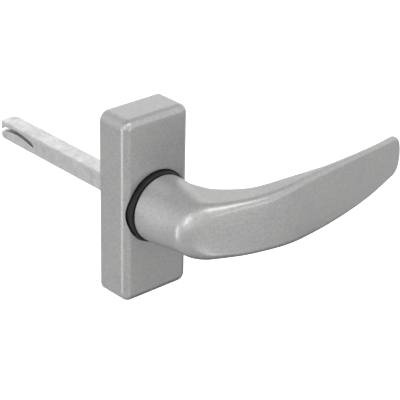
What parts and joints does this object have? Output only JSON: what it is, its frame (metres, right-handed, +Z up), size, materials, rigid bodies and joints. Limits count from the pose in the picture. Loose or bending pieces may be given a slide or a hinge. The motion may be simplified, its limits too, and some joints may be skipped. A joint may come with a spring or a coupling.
{
  "type": "tilt turn handle",
  "caption": "Tilt-and-turn window handle: a curved cast lever on a slim oblong rosette, with a black collar and a long square spindle split at its end.",
  "frame": {"origin": "centre of the rosette's back, in the plane of the sash surface, on the spindle's axis", "axes": "+Y along the spindle into the sash, -Y towards the room, +X along the lever at rest, +Z up along the rosette"},
  "size_m": [0.1104, 0.1235, 0.068],
  "materials": {
    "silver_paint": "satin metallic paint",
    "black_nylon": "moulded satin",
    "zinc_plate": "drawn and zinc plated",
    "zinc_casting": "as cast",
    "spring_steel": "tempered",
    "white_acetal": "moulded satin"
  },
  "bodies": {
    "rosette": {"base_plate": "zinc_casting", "collar_bush": "black_nylon", "leaf_spring_left": "spring_steel", "leaf_spring_right": "spring_steel", "rear_plate": "zinc_plate", "rear_plate_rivet_1": "zinc_plate", "rear_plate_rivet_2": "zinc_plate", "rear_plate_rivet_3": "zinc_plate", "rear_plate_rivet_4": "zinc_plate", "cover_clip_upper": "spring_steel", "cover_clip_lower": "spring_steel"},
    "cap": {"cover": "silver_paint"},
    "handle": {"lever": "silver_paint", "square_spindle": "zinc_plate", "spindle_pin": "spring_steel", "thrust_washer": "zinc_plate", "wave_washer": "spring_steel", "detent_cam": "white_acetal", "retaining_ring": "spring_steel"}
  },
  "joints": [
    {"name": "lever_turn", "type": "hinge", "parent": "rosette", "child": "handle", "pos_m": [0, 0, 0], "axis": [0, 1, 0], "range_deg": [-90, 90], "deforming": ["leaf_spring_left", "leaf_spring_right"]},
    {"name": "cover_lift", "type": "slide", "parent": "rosette", "child": "cap", "axis": [0, -1, 0], "range_m": [0, 0.01]}
  ]
}
